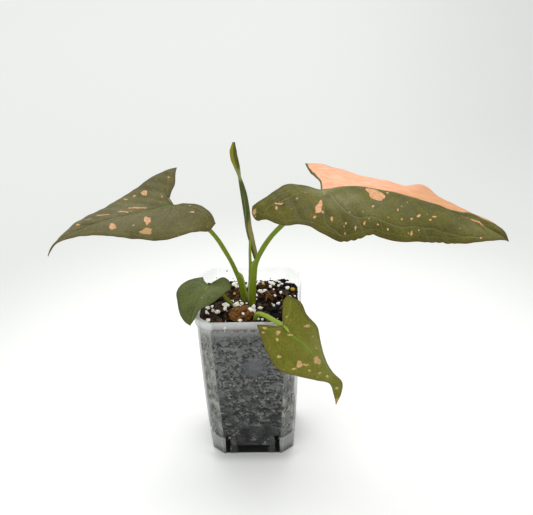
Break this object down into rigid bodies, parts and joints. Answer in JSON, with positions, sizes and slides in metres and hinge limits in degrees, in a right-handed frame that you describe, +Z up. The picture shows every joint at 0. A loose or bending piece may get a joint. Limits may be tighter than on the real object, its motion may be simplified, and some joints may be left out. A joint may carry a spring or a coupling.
{
  "type": "potted syngonium",
  "caption": "Young pink-variegated arrowhead vine, its arrow-shaped leaves on slim petioles and a new leaf still rolled, in a tall frosted square nursery pot of chunky mix.",
  "frame": {"origin": "on the ground under the middle of the whole plant's footprint; the pot's axis stands 19.5 mm towards -X and 8.5 mm towards +Y of it", "axes": "+X towards the longest leaf's side, which is the picture's right; +Y away from the picture's camera; +Z up"},
  "size_m": [0.2931, 0.1044, 0.224],
  "materials": {
    "pot": "clear polypropylene, frosted and slightly cloudy",
    "potting_mix": "loose, dark and damp, with pale grains",
    "coir": "fibrous, dry",
    "bark": "rough, dark",
    "stem": "pale and woody",
    "petiole": "smooth, waxy",
    "young_petiole": "smooth, waxy",
    "rolled_leaf": "smooth, satin",
    "leaf_left": "satin, blotched pink",
    "leaf_right": "satin, half of it peach pink",
    "leaf_front": "satin, blotched pink",
    "leaf_side": "matt, plain"
  },
  "bodies": {
    "root": {"pot": "pot", "potting_mix": "potting_mix", "stem": "stem", "coir_chip": "coir", "bark_chip_left": "bark", "bark_chip_front": "bark", "bark_chip_corner": "bark", "bark_chip_back": "bark", "bark_chip_right": "bark", "bark_chip_side": "bark", "petiole_left": "petiole", "petiole_right": "petiole", "petiole_side": "petiole", "petiole_front": "petiole", "petiole_new": "young_petiole", "leaf_new_rolled": "rolled_leaf", "leaf_left": "leaf_left", "leaf_right": "leaf_right", "leaf_front": "leaf_front", "leaf_side": "leaf_side"}
  },
  "joints": []
}
